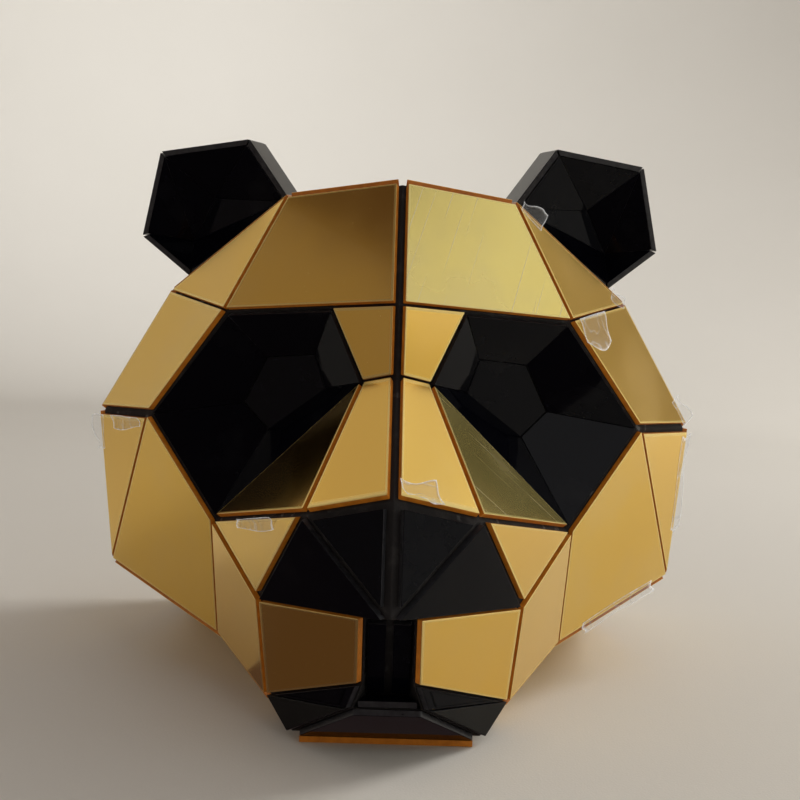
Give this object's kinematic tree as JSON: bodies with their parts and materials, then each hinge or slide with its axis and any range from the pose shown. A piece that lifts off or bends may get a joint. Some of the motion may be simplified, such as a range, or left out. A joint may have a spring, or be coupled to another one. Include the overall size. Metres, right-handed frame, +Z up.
{
  "type": "faceted panda head mask",
  "caption": "Full-head panda mask of flat gold mirror and glossy black plates on a matt black faceted shell, open at the neck.",
  "frame": {"origin": "on the floor under the middle of the mask's box", "axes": "+Z up, the face looks along -Y, +X is to the right of the front view"},
  "size_m": [0.342, 0.3184, 0.2971],
  "materials": {
    "gold_plate": "gold mirror acrylic",
    "black_plate": "glossy black acrylic",
    "matt_base": "matt black board"
  },
  "bodies": {
    "root": {"back_low": "gold_plate", "back_mid": "gold_plate", "back_top": "gold_plate", "base_shell": "matt_base", "bridge_lower_left": "gold_plate", "bridge_lower_right": "gold_plate", "bridge_upper_left": "gold_plate", "bridge_upper_right": "gold_plate", "cheek_left": "gold_plate", "cheek_right": "gold_plate", "chin": "gold_plate", "crown_flank_left": "gold_plate", "crown_flank_right": "gold_plate", "crown_left": "gold_plate", "crown_right": "gold_plate", "ear_front_left": "black_plate", "ear_front_right": "black_plate", "ear_left": "black_plate", "ear_right": "black_plate", "eye_lens_left": "black_plate", "eye_lens_right": "black_plate", "eye_socket_left": "black_plate", "eye_socket_right": "black_plate", "forehead_left": "gold_plate", "forehead_right": "gold_plate", "forehead_side_left": "gold_plate", "forehead_side_right": "gold_plate", "inner_cheek_left": "gold_plate", "inner_cheek_right": "gold_plate", "jaw_left": "gold_plate", "jaw_right": "gold_plate", "lip_under_left": "black_plate", "lip_under_right": "black_plate", "lower_lip": "black_plate", "mouth_corner_left": "black_plate", "mouth_corner_right": "black_plate", "mouth_floor": "black_plate", "muzzle_left": "gold_plate", "muzzle_right": "gold_plate", "nose_side_left": "black_plate", "nose_side_right": "black_plate", "nose_upper_left": "black_plate", "nose_upper_right": "black_plate", "philtrum_left": "black_plate", "philtrum_right": "black_plate", "side_left": "gold_plate", "side_lower_left": "gold_plate", "side_lower_right": "gold_plate", "side_right": "gold_plate", "side_upper_left": "gold_plate", "side_upper_right": "gold_plate", "temple_left": "gold_plate", "temple_right": "gold_plate", "under_cheek_left": "gold_plate", "under_cheek_right": "gold_plate", "under_eye_left": "gold_plate", "under_eye_right": "gold_plate", "under_jaw_left": "gold_plate", "under_jaw_right": "gold_plate"}
  },
  "joints": []
}
